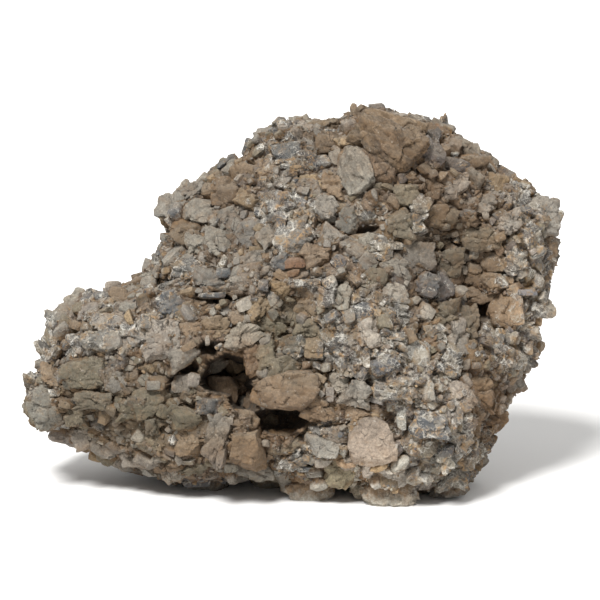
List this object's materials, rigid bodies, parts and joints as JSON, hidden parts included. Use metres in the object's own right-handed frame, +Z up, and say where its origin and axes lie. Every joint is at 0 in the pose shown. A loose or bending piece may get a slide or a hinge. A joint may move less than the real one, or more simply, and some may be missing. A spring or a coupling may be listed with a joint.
{
  "type": "aquascaping rock",
  "caption": "Natural breccia rock for an aquarium or terrarium: angular and rounded stones grown together, with small caves in its front.",
  "frame": {"origin": "centre of the bounding box, at the ground that the rock rests on", "axes": "+Z up, +X toward the high end, away from the low lobe; the face with the caves looks toward -Y"},
  "size_m": [0.2686, 0.1713, 0.1929],
  "materials": {
    "rock": "rough broken limestone and slate in brown clay, dry and matte"
  },
  "bodies": {
    "root": {"rock": "rock"}
  },
  "joints": []
}
